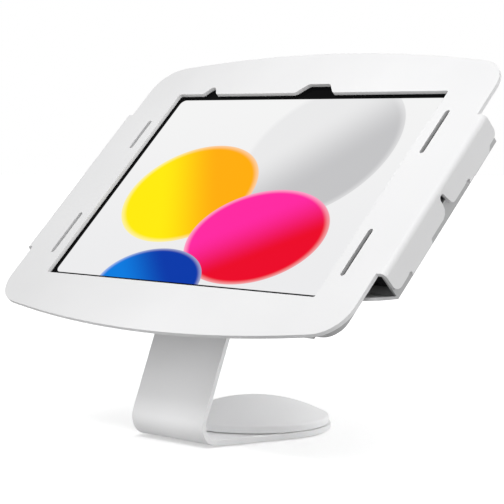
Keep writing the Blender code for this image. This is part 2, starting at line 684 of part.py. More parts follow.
def make_tray_holes(tray):
    through_back = (-TRAY_BACK - 1 * MM, -TRAY_BACK + TRAY_SHEET + 1 * MM)
    nut_holes = disc(NUT_HOLE, *through_back, SCREW_STEPS)
    shaped(tray, copied(nut_holes, vesa_corners()))
    cable_window = rounded_rectangle(*CABLE_WINDOW, 4, centre=(0, CABLE_WINDOW_Y))
    shaped(tray, prism(cable_window, *through_back))
    barrel_hole = disc(LOCK_BARREL + GAP, *through_back, 24)
    bmesh.ops.translate(barrel_hole, verts=barrel_hole.verts, vec=(LOCK_X, 0, 0))
    shaped(tray, barrel_hole)
    vents = bmesh.new()
    for side in (-1, 1):
        for i in range(VENTS):
            x = side * VENT_X + (i - (VENTS - 1) / 2) * VENT_PITCH
            add_mesh(vents, prism(upright_slot(x, 0, VENT_LENGTH, VENT_WIDTH, 4), *through_back))
    shaped(tray, vents)
    inside, outside = WING_HALF_WIDTH - TRAY_SHEET - 1 * MM, WING_HALF_WIDTH + 1 * MM
    slot_low, slot_high, slot_depth = CABLE_SLOT
    shaped(tray, block((inside, slot_low, -slot_depth), (outside, slot_high, 0)))
    shaped(tray, cam_slot(-WING_HALF_WIDTH, TRAY_SHEET))


def make_foam(materials, screen):
    """Foam behind the tablet, and foam blocks in the wings that centre it."""
    tablet_back = GLASS_FRONT + TABLET_THICKNESS
    outline = rounded_rectangle(PAD_HALF, PAD_HALF, 3 * MM, 3)
    pad = prism(outline, -TRAY_BACK + TRAY_SHEET + GAP, -tablet_back - GAP)
    x, y = PAD_PLACE
    places = [Vector((sx * x, sy * y, 0)) for sx in (-1, 1) for sy in (-1, 1)]
    placed_row("rear_foam_pad", pad, materials["foam"], screen, places)
    near = TABLET_WIDTH / 2 + FOAM_GAP
    far = WING_HALF_WIDTH - TRAY_SHEET - FOAM_GAP
    half_width = (far - near) / 2
    shallow, deep = SIDE_BLOCK_DEPTHS
    low = (-half_width, -SIDE_BLOCK_HALF_LENGTH, -deep)
    high = (half_width, SIDE_BLOCK_HALF_LENGTH, -shallow)
    middle = (near + far) / 2
    places = [Vector((sx * middle, sy * SIDE_BLOCK_Y, 0)) for sx in (-1, 1) for sy in (-1, 1)]
    placed_row("side_foam_block", block(low, high), materials["foam"], screen, places)


def make_tablet(materials, screen):
    glass_back = GLASS_FRONT + GLASS_THICKNESS
    back = GLASS_FRONT + TABLET_THICKNESS
    half_width, half_height = TABLET_WIDTH / 2, TABLET_HEIGHT / 2
    shell_outline = rounded_rectangle(half_width, half_height, TABLET_CORNER, 8)
    shell_mesh = prism(shell_outline, -back, -glass_back - 0.1 * MM)
    rim = [e for e in shell_mesh.edges if all(abs(v.co.z + back) < 1e-6 for v in e.verts)]
    bmesh.ops.bevel(shell_mesh, geom=rim, offset=2 * MM, segments=3, affect="EDGES", profile=0.5)
    node("tablet_housing", shell_mesh, materials["aluminium"], screen)
    edge = 0.6 * MM
    glass_outline = rounded_rectangle(half_width - edge, half_height - edge, TABLET_CORNER - edge, 8)
    node("tablet_glass", prism(glass_outline, -glass_back, -GLASS_FRONT), materials["glass"], screen)


# ---------------------------------------------------------------- cam lock


def cam_slot(wall_x, thickness):
    """The slot in an upright wall that the cam's tip swings down into, from above."""
    room = 0.8 * MM
    entry = LOCK_X - (wall_x + thickness)  # how far the wall's inner face is from the lock's axis
    lean = math.acos((entry - CAM_HALF_WIDTH) / (CAM_REACH - CAM_HALF_WIDTH))
    top = (CAM_REACH - CAM_HALF_WIDTH) * math.sin(lean) + CAM_HALF_WIDTH + room
    low = (wall_x - 1 * MM, -CAM_HALF_WIDTH - room, -CAM_FROM - CAM_THICKNESS - room)
    high = (wall_x + thickness + 1 * MM, top, room - CAM_FROM)
    return block(low, high)


def make_lock(materials, lock_axis):
    """A cam lock that is turned from behind. Heights are along the lock's axis, out of the tray's back."""
    barrel_from = CAM_FROM + CAM_THICKNESS + GAP
    collar_from = TRAY_BACK + GAP
    collar_top = TRAY_BACK + LOCK_COLLAR_HEIGHT
    profile = [(LOCK_PLUG + GAP, barrel_from), (LOCK_BARREL, barrel_from), (LOCK_BARREL, collar_from)]
    profile += [(LOCK_COLLAR, collar_from), (LOCK_COLLAR, collar_top - 0.8 * MM)]
    profile += [(LOCK_COLLAR - 0.8 * MM, collar_top), (LOCK_PLUG + GAP, collar_top)]
    node("lock_barrel", turned(profile, 32), materials["chrome"], lock_axis)

    hexagon = arc((0, 0), LOCK_NUT, 0, 300, 5)
    nut_top = TRAY_BACK - TRAY_SHEET - GAP
    nut_mesh = prism(hexagon, nut_top - LOCK_NUT_HEIGHT, nut_top)
    nut = node("lock_nut", nut_mesh, materials["zinc"], lock_axis)
    shaped(nut, disc(LOCK_BARREL + GAP, nut_top - LOCK_NUT_HEIGHT - 1 * MM, TRAY_BACK, 32))

    plug_mesh = disc(LOCK_PLUG, barrel_from - 0.1 * MM, collar_top - 0.3 * MM, 32)
    plug = node("lock_plug", plug_mesh, materials["chrome"], lock_axis)
    half_width, half_length, depth = KEYWAY
    keyway_low = (-half_width, -half_length, collar_top - depth)
    shaped(plug, block(keyway_low, (half_width, half_length, collar_top + 1 * MM)))

    tail = arc((0, 0), CAM_HALF_WIDTH + 1.5 * MM, 180, 360, 8)
    tip = arc((0, CAM_REACH - CAM_HALF_WIDTH), CAM_HALF_WIDTH, 0, 180, 6)
    cam_mesh = prism(tail + tip, CAM_FROM, CAM_FROM + CAM_THICKNESS)
    cam = node("lock_cam", cam_mesh, materials["zinc"], lock_axis)
    shaped(cam, disc(CAM_SCREW_SHANK + GAP, 0, 10 * MM, SCREW_STEPS))
    head_low, head_top, shank_top = CAM_FROM - 1.1 * MM, CAM_FROM - GAP, CAM_FROM + CAM_THICKNESS - 0.1 * MM
    profile = [(0, head_low), (2.8 * MM, head_low), (3.2 * MM, head_low + 0.3 * MM), (3.2 * MM, head_top)]
    profile += [(CAM_SCREW_SHANK, head_top), (CAM_SCREW_SHANK, shank_top), (0, shank_top)]
    node("cam_screw", turned(profile, SCREW_STEPS, closed=False), materials["zinc"], lock_axis)


# ---------------------------------------------------------------- assembly


def main():
    clear_scene()
    materials = make_materials()
    base_axis = empty("base_swivel_axis", Matrix.Translation((0, 0, ARM_UNDERSIDE)))
    screen = empty("screen_frame", Matrix.Translation(SCREEN_CENTRE) @ Matrix.Rotation(SCREEN_SLOPE, 4, "X"))
    # the head's stack runs out of the back, so its axis is turned over about y
    turned_over = Matrix.Translation((0, 0, -ARM_HEAD_FROM)) @ Matrix.Rotation(math.pi, 4, "Y")
    head_axis = empty("head_axis", turned_over, screen)
    lock_turned_over = Matrix.Translation((LOCK_X, 0, 0)) @ Matrix.Rotation(math.pi, 4, "Y")
    lock_axis = empty("lock_axis", lock_turned_over, screen)
    bpy.context.view_layer.update()

    node("foot_pad", disc(HUB, 0, FOOT_PAD_THICKNESS), materials["rubber"], None)
    make_rotary_head("base", materials, base_axis, 0.1 * MM)
    make_arm(materials, base_axis, head_axis)
    make_rotary_head("head", materials, head_axis, -1.0 * MM)
    make_vesa_plate(materials, screen, head_axis)
    make_tray(materials, screen)
    make_foam(materials, screen)
    make_tablet(materials, screen)
    make_lock(materials, lock_axis)
    make_faceplate(materials, screen)


main()
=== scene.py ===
"""The looks of a counter stand for a tablet: its coated sheets, rotary heads, lock, foam and lit screen.

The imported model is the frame. Its sheets are copied and their edges rounded. Its turned, moulded and foam pieces
are modelled afresh in the same places. Lengths are in metres.
"""

import json
import math

import bpy
from mathutils import Matrix, Vector

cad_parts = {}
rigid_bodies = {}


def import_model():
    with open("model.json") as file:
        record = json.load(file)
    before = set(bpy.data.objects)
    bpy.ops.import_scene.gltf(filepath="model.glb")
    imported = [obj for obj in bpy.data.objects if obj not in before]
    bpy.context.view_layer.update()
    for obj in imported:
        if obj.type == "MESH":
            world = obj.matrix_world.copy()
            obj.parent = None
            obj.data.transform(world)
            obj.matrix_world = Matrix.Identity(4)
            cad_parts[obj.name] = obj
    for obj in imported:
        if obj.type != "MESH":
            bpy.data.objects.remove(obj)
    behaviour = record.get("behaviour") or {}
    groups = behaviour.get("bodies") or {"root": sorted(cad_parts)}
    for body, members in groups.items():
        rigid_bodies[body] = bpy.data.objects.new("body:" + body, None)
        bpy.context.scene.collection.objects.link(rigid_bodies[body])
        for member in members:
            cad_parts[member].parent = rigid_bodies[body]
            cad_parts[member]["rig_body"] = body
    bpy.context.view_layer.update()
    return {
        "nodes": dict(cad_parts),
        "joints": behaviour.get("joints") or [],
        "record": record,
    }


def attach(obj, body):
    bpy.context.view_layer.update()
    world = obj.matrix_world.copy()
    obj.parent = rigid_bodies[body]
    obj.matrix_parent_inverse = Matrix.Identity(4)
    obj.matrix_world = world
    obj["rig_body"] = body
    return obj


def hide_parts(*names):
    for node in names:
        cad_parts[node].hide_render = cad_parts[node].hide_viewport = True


MM = 0.001

# The sheets
COAT_EDGE = 0.45 * MM  # how far the coat rounds a sheet's cut edge
THIN_EDGE = 0.3 * MM

# The screen frame: its origin is the middle of the window, x right, y up the screen and z out of it
HEAD_DEPTH = 24.9 * MM  # from the front of the face back to the upper head's own origin
LIT_WIDTH = 224.7 * MM
LIT_HEIGHT = 155.4 * MM
LIT_CORNER = 4.0 * MM
LIT_CENTRE = (1.4 * MM, 0.05 * MM)
LIT_SOFTNESS = 0.15 * MM  # half the width of the lit area's soft edge
GLASS_FRONT = -3.0 * MM  # glass further out than this lights up

# The rotary heads' covers, with heights from the arm's outer face
COVER = 45.9 * MM
COVER_FOOT = 3.4 * MM
COVER_TOP = 19.2 * MM
COVER_DOME = 94.9 * MM
COVER_EDGE = 44.5 * MM
COVER_WALL = 1.2 * MM
COVER_GRIP = 38.4 * MM
COVER_GRIP_FOOT = 4.0 * MM
COVER_RIM = 1.4 * MM  # the rounding between dome and skirt

# The fixings and the foam behind the screen
CORNERS = ((-1, -1), (-1, 1), (1, -1), (1, 1))
PLATE_PITCH = 50 * MM
PLATE_BACK = 23.7 * MM
SOCKET_RADIUS = 1.45 * MM
SOCKET_DEPTH = 2.2 * MM
FOAM_RIM = 1.0 * MM
REAR_FOAM_AT = (96.0 * MM, 58.0 * MM)
SIDE_FOAM_AT = (135.75 * MM, 42.0 * MM)

# The studio
ROOM_HIGH = 0.74
ROOM_LOW = 0.28
FLOOR_GLOW = 0.62
FOOT_GLOW_PAINTED_SHADE = 0.24  # the floor shines less close to the foot: painted shadow round the foot, over its real cast shadow
KEY_DISTANCE = 0.45
KEY_SIDE = 0.09
KEY_UP = 0.06
KEY_SIZE = 0.16
KEY_POWER = 1.02
ARM_POWER = 0.0095
FOOT_POWER = 0.1
SIDE_POWER = 3.4
CAMERA_OFFSET = (0.75872, -0.76547, 0.03978)  # from the middle of the screen
CAMERA_TURN = (85.712, 0.0, 44.35)  # degrees
CAMERA_LENS = 126.58  # millimetres, on a 36 mm sensor

# Outlines of the turned fixings: radius and height in millimetres
SCREW_OUTLINE = (
    (0, 0),
    (3.3, 0),
    (3.55, -0.08),
    (3.6, -0.25),
    (1.8, -1.5),
    (1.8, -7.7),
    (1.5, -8.0),
    (0, -8.0),
)
BARREL_OUTLINE = (
    (4.8, 7.4),
    (6.5, 7.4),
    (6.5, 21.2),
    (8.8, 21.2),
    (9.0, 21.4),
    (9.0, 22.3),
    (8.86, 22.75),
    (8.5, 23.06),
    (8.1, 23.2),
    (6.0, 23.2),
    (5.7, 22.95),
    (5.0, 22.85),
    (4.8, 22.7),
    (4.8, 7.4),
)
PLUG_OUTLINE = (
    (0, 7.3),
    (4.6, 7.3),
    (4.6, 22.5),
    (4.45, 22.75),
    (4.2, 22.88),
    (3.7, 22.9),
    (3.55, 22.75),
    (0, 22.75),
)

# Blocks of the lock, tablet and foam: low and high corners in millimetres
KEYWAY = ((-0.7, -3.2, 15.0), (0.7, 3.2, 24.0))
GLASS = ((-123.7, -89.15, -3.6), (123.7, 89.15, -2.8))
SHELL = ((-124.3, -89.75, -9.8), (124.3, 89.75, -3.7))
PORT = ((117.0, -4.5, -8.0), (127.0, 4.5, -5.4))
REAR_FOAM = ((-20, -20, -19.2), (20, 20, -10.2))
SIDE_FOAM = ((-11.35, -15, -16), (11.35, 15, -4.1))

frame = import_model()


# ---------------------------------------------------------------- places from the frame


def joint(name):
    """A joint of the frame, by its name."""
    return next(j for j in frame["joints"] if j["name"] == name)


def frame_along(origin, outward):
    """A frame at an origin whose z is outward and whose x is the row's x."""
    z = Vector(outward).normalized()
    x = Vector((1, 0, 0))
    y = z.cross(x)
    turn = Matrix((x, y, z)).transposed().to_4x4()
    return Matrix.Translation(origin) @ turn


HEAD = joint("screen_rotate")
SCREEN_NORMAL = Vector(HEAD["axis"])
SCREEN = frame_along(Vector(HEAD["pos_m"]) + SCREEN_NORMAL * HEAD_DEPTH, SCREEN_NORMAL)
SCREEN_SLOPE = math.atan2(-SCREEN_NORMAL.y, SCREEN_NORMAL.z)
# both heads' stacks rise out of the arm's outer face, and the upper one is turned over
HEAD_STACK = frame_along(HEAD["pos_m"], SCREEN_NORMAL) @ Matrix.Rotation(math.pi, 4, "Y")
BASE_STACK = Matrix.Translation(joint("base_swivel")["pos_m"])
LOCK_X = joint("lock_turn")["pos_m"][0]
LOCK = SCREEN @ Matrix.Translation((LOCK_X, 0, 0)) @ Matrix.Rotation(math.pi, 4, "Y")


# ---------------------------------------------------------------- modelling by hand


def nothing_selected():
    """Leaves edit mode and deselects every object."""
    if bpy.context.object and bpy.context.object.mode != "OBJECT":
        bpy.ops.object.mode_set(mode="OBJECT")
    bpy.ops.object.select_all(action="DESELECT")


def take(piece):
    """Makes a piece the one that operators act on."""
    nothing_selected()
    piece.select_set(True)
    bpy.context.view_layer.objects.active = piece
    return piece


def select_parts(piece, kind, test):
    """Selects the faces, edges or vertices of a piece that pass a test, and leaves it in edit mode."""
    take(piece)
    bpy.ops.object.mode_set(mode="EDIT")
    bpy.ops.mesh.select_mode(type=kind)
    bpy.ops.mesh.select_all(action="DESELECT")
    bpy.ops.object.mode_set(mode="OBJECT")
    mesh = piece.data
    for part in {"FACE": mesh.polygons, "EDGE": mesh.edges, "VERT": mesh.vertices}[kind]:
        part.select = test(part)
    bpy.ops.object.mode_set(mode="EDIT")


def modifier(piece, kind, **settings):
    """Adds a modifier with its settings and applies it."""
    take(piece)
    made = piece.modifiers.new(kind.lower(), kind)
    for name, value in settings.items():
        setattr(made, name, value)
    bpy.ops.object.modifier_apply(modifier=made.name)


def rounded_edges(piece, width, segments=2, angle=35):
    """Rounds a piece's sharp edges."""
    modifier(
        piece,
        "BEVEL",
        width=width,
        segments=segments,
        limit_method="ANGLE",
        angle_limit=math.radians(angle),
        miter_outer="MITER_ARC",
        use_clamp_overlap=True,
        loop_slide=False,
    )


def finished(piece, name, body, material, place=None, smooth=35):
    """Names a piece, puts it in place within its mesh, and gives it its finish and its body."""
    take(piece)
    piece.name = name
    piece.data.name = name
    if place is not None:
        piece.matrix_world = place @ piece.matrix_world
    bpy.ops.object.transform_apply(location=True, rotation=True, scale=True)
    bpy.ops.object.mode_set(mode="EDIT")
    bpy.ops.mesh.select_all(action="SELECT")
    bpy.ops.mesh.normals_make_consistent(inside=False)
    bpy.ops.object.mode_set(mode="OBJECT")
    bpy.ops.object.shade_smooth_by_angle(angle=math.radians(smooth))
    modifier(piece, "WEIGHTED_NORMAL", keep_sharp=True)
    piece.data.materials.clear()
    piece.data.materials.append(material)
    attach(piece, body)
    return piece


def copy_of(piece):
    """A copy with its own mesh, before either is finished."""
    twin = piece.copy()
    twin.data = piece.data.copy()
    bpy.context.scene.collection.objects.link(twin)
    return twin


def stand_for(node):
    """Hides the node of the frame that a piece stands for."""
    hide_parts(node)


def sheet_from(node, material, edge, segments, split=False):
    """A sheet of the frame, copied, with its loose triangles merged into flats and its cut edges rounded.

    A sheet whose flats run round a window is split across the middle of the screen first.
    """
    original = frame["nodes"][node]
    body = original["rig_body"]
    sheet = copy_of(original)
    for key in list(sheet.keys()):
        del sheet[key]
    sheet.parent = None
    take(sheet)
    bpy.ops.object.mode_set(mode="EDIT")
    bpy.ops.mesh.select_all(action="SELECT")
    bpy.ops.mesh.remove_doubles(threshold=0.005 * MM)
    bpy.ops.mesh.dissolve_limited(angle_limit=math.radians(0.6))
    if split:
        bpy.ops.mesh.select_all(action="SELECT")
        bpy.ops.mesh.bisect(plane_co=SCREEN.translation, plane_no=SCREEN.col[1].to_3d())
    bpy.ops.object.mode_set(mode="OBJECT")
    rounded_edges(sheet, edge, segments)
    finished(sheet, f"{node}_sheet", body, material)
    stand_for(node)


def turned(profile, steps):
    """A solid of revolution about z: a vertex drawn along an outline of (radius, height) points, then spun."""
    nothing_selected()
    bpy.ops.mesh.primitive_plane_add(size=1 * MM)
    solid = bpy.context.object
    bpy.ops.object.mode_set(mode="EDIT")
    bpy.ops.mesh.select_mode(type="VERT")
    bpy.ops.mesh.select_all(action="SELECT")
    bpy.ops.mesh.merge(type="CENTER")
    bpy.ops.transform.translate(value=(profile[0][0], 0, profile[0][1]))
    for here, there in zip(profile, profile[1:]):
        step = (there[0] - here[0], 0, there[1] - here[1])
        bpy.ops.mesh.extrude_vertices_move(TRANSFORM_OT_translate={"value": step})
    bpy.ops.mesh.select_all(action="SELECT")
    bpy.ops.mesh.spin(steps=steps, angle=math.tau, center=(0, 0, 0), axis=(0, 0, 1))
    bpy.ops.mesh.select_all(action="SELECT")
    bpy.ops.mesh.remove_doubles(threshold=0.005 * MM)
    bpy.ops.mesh.normals_make_consistent(inside=False)
    bpy.ops.object.mode_set(mode="OBJECT")
    return solid


def in_mm(points):
    """Points in metres, from points in millimetres."""
    return [tuple(value * MM for value in point) for point in points]


def cut(piece, tool):
    """Cuts a tool's shape out of a piece and throws the tool away."""
    modifier(piece, "BOOLEAN", operation="DIFFERENCE", object=tool, solver="EXACT")
    bpy.data.objects.remove(tool, do_unlink=True)


def box_piece(low, high):
    """A block between two corners, ready to be shaped."""
    nothing_selected()
    middle = (Vector(low) + Vector(high)) / 2
    bpy.ops.mesh.primitive_cube_add(size=1, location=middle)
    block = bpy.context.object
    block.scale = Vector(high) - Vector(low)
    bpy.ops.object.transform_apply(location=True, rotation=False, scale=True)
    return block


def slab(low, high, corner, segments, rim=0.0, rim_segments=3):
    """A flat slab with round corners seen from above, and with rounded rims if they are given a width."""
    block = box_piece(low, high)
    select_parts(block, "EDGE", lambda e: upright(block, e))
    bpy.ops.mesh.bevel(offset=corner, segments=segments, affect="EDGES")
    bpy.ops.object.mode_set(mode="OBJECT")
    if rim:
        rounded_edges(block, rim, rim_segments, 50)
    return block


def upright(piece, edge):
    """Whether an edge runs along z."""
    a, b = (piece.data.vertices[i].co for i in edge.vertices)
    return abs(a.x - b.x) < 1e-6 and abs(a.y - b.y) < 1e-6


# ---------------------------------------------------------------- finishes


class Wire:
    """A shader value that adds, scales and compares as a number does."""

    def __init__(self, recipe, socket):
        self.recipe = recipe
        self.socket = socket

    def __add__(self, other):
        return self.recipe.maths("ADD", self, other)

    def __radd__(self, other):
        return self.recipe.maths("ADD", other, self)

    def __sub__(self, other):
        return self.recipe.maths("SUBTRACT", self, other)

    def __rsub__(self, other):
        return self.recipe.maths("SUBTRACT", other, self)

    def __mul__(self, other):
        return self.recipe.maths("MULTIPLY", self, other)

    def __rmul__(self, other):
        return self.recipe.maths("MULTIPLY", other, self)

    def __truediv__(self, other):
        return self.recipe.maths("DIVIDE", self, other)

    def __abs__(self):
        return self.recipe.maths("ABSOLUTE", self)

    def __gt__(self, other):
        return self.recipe.maths("GREATER_THAN", self, other)


class Recipe:
    """The nodes of one finish."""

    def __init__(self, name, **constants):
        self.material = bpy.data.materials.new(name)
        self.material.use_nodes = True
        self.tree = self.material.node_tree
        self.shader = self.tree.nodes["Principled BSDF"]
        for socket, value in constants.items():
            self.shader.inputs[socket.replace("_", " ").title().replace("Ior", "IOR")].default_value = value

    @classmethod
    def of_tree(cls, tree):
        """A recipe that adds to a tree which is already there."""
        recipe = cls.__new__(cls)
        recipe.tree = tree
        return recipe

    def node(self, kind, settings=None, inputs=None, output=0):
        """Adds a node of a kind, makes its settings, fills its sockets, and gives the wire from one output."""
        made = self.tree.nodes.new("ShaderNode" + kind)
        for name, value in (settings or {}).items():
            setattr(made, name, value)
        for name, value in (inputs or {}).items():
            self.fill(made.inputs[name], value)
        return Wire(self, made.outputs[output])

    def fill(self, socket, value):
        if isinstance(value, Wire):
            self.tree.links.new(value.socket, socket)
        else:
            socket.default_value = value

    def maths(self, operation, first, second=0.0):
        return self.node("Math", {"operation": operation}, {0: first, 1: second})

    def smooth(self, value, low, high):
        """Runs smoothly from 0 at low to 1 at high."""
        settings = {"interpolation_type": "SMOOTHSTEP"}
        return self.node("MapRange", settings, {"Value": value, "From Min": low, "From Max": high})

    def mixed(self, share, first, second):
        """A colour between two colours."""
        inputs = {0: share, 6: with_alpha(first), 7: with_alpha(second)}
        return self.node("Mix", {"data_type": "RGBA"}, inputs, 2)

    def place(self):
        return self.node("TexCoord", output="Object")

    def screen_place(self):
        """The place in the screen frame."""
        inputs = {"Vector": self.place(), "Location": SCREEN.translation, "Rotation": (SCREEN_SLOPE, 0, 0)}
        return self.node("Mapping", {"vector_type": "TEXTURE"}, inputs)

    def noise(self, scale, detail=2.0, place=None, roughness=0.5):
        inputs = {"Vector": place or self.place(), "Scale": scale, "Detail": detail, "Roughness": roughness}
        return self.node("TexNoise", None, inputs, "Fac")

    def bump(self, height, distance):
        """Raises the surface by a height from 0 to 1, times a distance in metres."""
        inputs = {"Height": height, "Distance": distance, "Strength": 1.0}
        self.surface(Normal=self.node("Bump", None, inputs, "Normal"))

    def surface(self, **inputs):
        for name, value in inputs.items():
            self.fill(self.shader.inputs[name.replace("_", " ")], value)


def with_alpha(colour):
    """A colour that fits a colour socket, from three numbers or from a wire."""
    return colour if isinstance(colour, Wire) else (*colour, 1)


def powder_coat(name, colour, roughness=0.42):
    """Baked powder: a faint orange peel, a fine grain, and slow drifts in shade and gloss."""
    coat = Recipe(name, specular_ior_level=0.42)
    peel = coat.noise(420, 2)
    fine = coat.noise(1900, 2, roughness=0.7)
    drift = coat.noise(11, 3)
    darker = tuple(c * 0.965 for c in colour)
    coat.surface(Base_Color=coat.mixed(coat.smooth(drift, 0.3, 0.7), darker, colour))
    coat.surface(Roughness=roughness + 0.10 * fine + 0.06 * drift)
    coat.bump(0.6 * peel + 0.4 * fine, 0.05 * MM)
    return coat.material


def bare_metal(name, colour, roughness, scale=(60, 60, 2600)):
    """Metal with a drawn grain along one direction and faint clouds."""
    metal = Recipe(name, metallic=1.0)
    stretched = metal.node("Mapping", None, {"Vector": metal.place(), "Scale": scale})
    grain = metal.noise(1.0, 3, place=stretched, roughness=0.65)
    cloud = metal.noise(90, 3)
    darker = tuple(c * 0.72 for c in colour)
    metal.surface(Base_Color=metal.mixed(0.35 * grain + 0.65 * cloud, darker, colour))
    metal.surface(Roughness=roughness - 0.1 + 0.2 * grain + 0.1 * cloud)
    metal.bump(grain, 0.01 * MM)
    return metal.material


def moulded(name, colour, roughness, scale=700, depth=0.03 * MM):
    """Moulded plastic or rubber with a fine sparkle grain."""
    plastic = Recipe(name)
    grain = plastic.noise(scale, 3, roughness=0.6)
    drift = plastic.noise(35, 2)
    darker = tuple(c * 0.86 for c in colour)
    plastic.surface(Base_Color=plastic.mixed(drift, darker, colour))
    plastic.surface(Roughness=roughness - 0.06 + 0.12 * grain)
    plastic.bump(grain, depth)
    return plastic.material


def open_foam(name, colour):
    """Closed-cell foam: round cells with pits between them, the tops painted lighter and the pits darker as
    painted light and shade.
    """
    foam = Recipe(name, specular_ior_level=0.25)
    cells = foam.node("TexVoronoi", {"feature": "F1"}, {"Vector": foam.place(), "Scale": 900}, "Distance")
    pits = foam.smooth(cells, 0.1, 0.65)
    # painted light on the cell tops and painted shade in the pits, following the bump
    painted_lit_cell_tops = tuple(c * 2.2 for c in colour)
    foam.surface(Base_Color=foam.mixed(pits, painted_lit_cell_tops, colour))
    foam.surface(Roughness=0.86 + 0.1 * pits)
    foam.bump(1 - pits, 0.25 * MM)
    return foam.material


def rounded_box(recipe, x, y, half_width, half_height, corner):
    """How far a place lies outside a rectangle with round corners, in metres, negative inside."""
    over_x = recipe.maths("MAXIMUM", abs(x) - (half_width - corner), 0.0)
    over_y = recipe.maths("MAXIMUM", abs(y) - (half_height - corner), 0.0)
    return recipe.maths("SQRT", over_x * over_x + over_y * over_y) - corner


def colour_disc(recipe, x, y, centre, radii, first, second, lean, behind):
    """A soft-edged disc, shaded from one colour to another along a lean, over what is behind it."""
    across = (x - centre[0] * MM) / (radii[0] * MM)
    up = (y - centre[1] * MM) / (radii[1] * MM)
    reach = recipe.maths("SQRT", across * across + up * up)
    shade = recipe.smooth(across * math.cos(lean) + up * math.sin(lean), -0.45, 0.45)
    rim = recipe.smooth(reach, 0.9, 1.0) * 0.35
    colour = recipe.mixed(rim, recipe.mixed(shade, first, second), (1, 1, 1))
    return recipe.mixed(recipe.smooth(reach, 1.0, 0.985), behind, colour)


def lit_glass():
    """Display glass with a black border around a lit picture of plain colour discs."""
    glass = Recipe("display_glass", roughness=0.06, specular_ior_level=0.012, emission_strength=1.0)
    place = glass.node("SeparateXYZ", None, {"Vector": glass.screen_place()})
    node = place.socket.node
    x = Wire(glass, node.outputs["X"]) - LIT_CENTRE[0]
    y = Wire(glass, node.outputs["Y"]) - LIT_CENTRE[1]
    picture = glass.mixed(glass.smooth(y, -0.08, 0.08), (0.84, 0.84, 0.85), (0.9, 0.9, 0.9))
    discs = (
        ((40, 34), (58, 58), (0.55, 0.55, 0.56), (0.82, 0.82, 0.825), 2.4),
        ((-44, -6), (54, 42), (1.0, 0.83, 0.0), (1.0, 0.42, 0.0), 0.5),
        ((36, -38), (54, 38), (0.84, 0.0, 0.02), (1.0, 0.02, 0.36), 2.3),
        ((-26, -80), (44, 28), (0.0, 0.2, 0.75), (0.0, 0.04, 0.4), 0.6),
    )
    for centre, radii, first, second, lean in discs:
        picture = colour_disc(glass, x, y, centre, radii, first, second, lean, picture)
    outside = rounded_box(glass, x, y, LIT_WIDTH / 2, LIT_HEIGHT / 2, LIT_CORNER)
    lit = glass.smooth(outside, LIT_SOFTNESS, -LIT_SOFTNESS)
    faces_out = Wire(glass, node.outputs["Z"]) > GLASS_FRONT
    smear = glass.noise(30, 4)
    glass.surface(Base_Color=glass.mixed(smear, (0.0012, 0.0012, 0.0014), (0.003, 0.003, 0.0034)))
    glass.surface(Emission_Color=glass.mixed(lit * faces_out, (0, 0, 0), picture))
    glass.surface(Roughness=0.05 + 0.05 * smear)
    return glass.material


def make_finishes():
    """Every finish, by its name."""
    return {
        "white": powder_coat("white_powder_coat", (0.87, 0.87, 0.875)),
        # the tray's mid grey coat is painted shade: it stands for the shade inside and under the enclosure
        "tray_painted_shade_grey": powder_coat("tray_powder_coat_painted_shade", (0.52, 0.52, 0.525), 0.5),
        "inner_white": powder_coat("inner_powder_coat", (0.78, 0.78, 0.79), 0.5),
        "steel": bare_metal("brushed_steel", (0.58, 0.58, 0.6), 0.36),
        "zinc": bare_metal("zinc_plate", (0.66, 0.67, 0.7), 0.4, (500, 500, 500)),
        "aluminium": bare_metal("anodised_aluminium", (0.7, 0.71, 0.73), 0.42, (1500, 1500, 1500)),
        "chrome": bare_metal("bright_chrome", (0.84, 0.85, 0.87), 0.16, (300, 300, 300)),
        "acetal": moulded("acetal", (0.78, 0.77, 0.72), 0.5),
        "rubber": moulded("foot_rubber", (0.035, 0.035, 0.035), 0.85, 500, 0.08 * MM),
        "foam": open_foam("tray_foam", (0.022, 0.022, 0.024)),
        "glass": lit_glass(),
    }


# ---------------------------------------------------------------- the sheets


def make_sheets(finish):
    """The face, the tray, the arm and the square plate."""
    sheet_from("faceplate", finish["white"], COAT_EDGE, 3, split=True)
    # the tray is coated in the mid grey of painted shade
    sheet_from("rear_tray", finish["tray_painted_shade_grey"], THIN_EDGE, 2)
    sheet_from("arm_strip", finish["white"], COAT_EDGE, 3)
    sheet_from("vesa_plate", finish["inner_white"], THIN_EDGE, 2)


# ---------------------------------------------------------------- turned and moulded pieces


def cover_outline():
    """The outline of a rotary head's cover: dome, skirt, and the ring inside that grips the retainer."""

    def dome(radius, inset):
        return COVER_TOP - COVER_DOME + math.sqrt((COVER_DOME - inset) ** 2 - radius**2)

    edge = dome(COVER_EDGE, 0)
    outline = [(COVER_EDGE * i / 24, dome(COVER_EDGE * i / 24, 0)) for i in range(25)]
    for degrees in (20, 40, 60, 80):
        turn = math.radians(degrees)
        outline.append((COVER_EDGE + COVER_RIM * math.sin(turn), edge - COVER_RIM * (1 - math.cos(turn))))
    inside = COVER - COVER_WALL
    outline += [
        (COVER, edge - 1.5 * MM),
        (COVER, COVER_FOOT + 0.25 * MM),
        (COVER - 0.25 * MM, COVER_FOOT),
        (inside, COVER_FOOT),
        (inside, edge - 2.4 * MM),
        (inside - 1.5 * MM, dome(inside, COVER_WALL) - 0.3 * MM),
        (COVER_GRIP + COVER_WALL, dome(COVER_GRIP + COVER_WALL, COVER_WALL)),
        (COVER_GRIP + COVER_WALL, COVER_GRIP_FOOT),
        (COVER_GRIP, COVER_GRIP_FOOT),
        (COVER_GRIP, dome(COVER_GRIP, COVER_WALL)),
    ]
    outline += [(COVER_GRIP * i / 12, dome(COVER_GRIP * i / 12, COVER_WALL)) for i in range(11, -1, -1)]
    return outline


def make_covers(finish):
    """The domed covers of the two rotary heads, alike."""
    base = turned(cover_outline(), 128)
    head = copy_of(base)
    covers = ((base, "base", BASE_STACK, "foot"), (head, "head", HEAD_STACK, "enclosure"))
    for piece, name, place, body in covers:
        finished(piece, f"{name}_cover_dome", body, finish["white"], place)
        stand_for(f"{name}_cover")


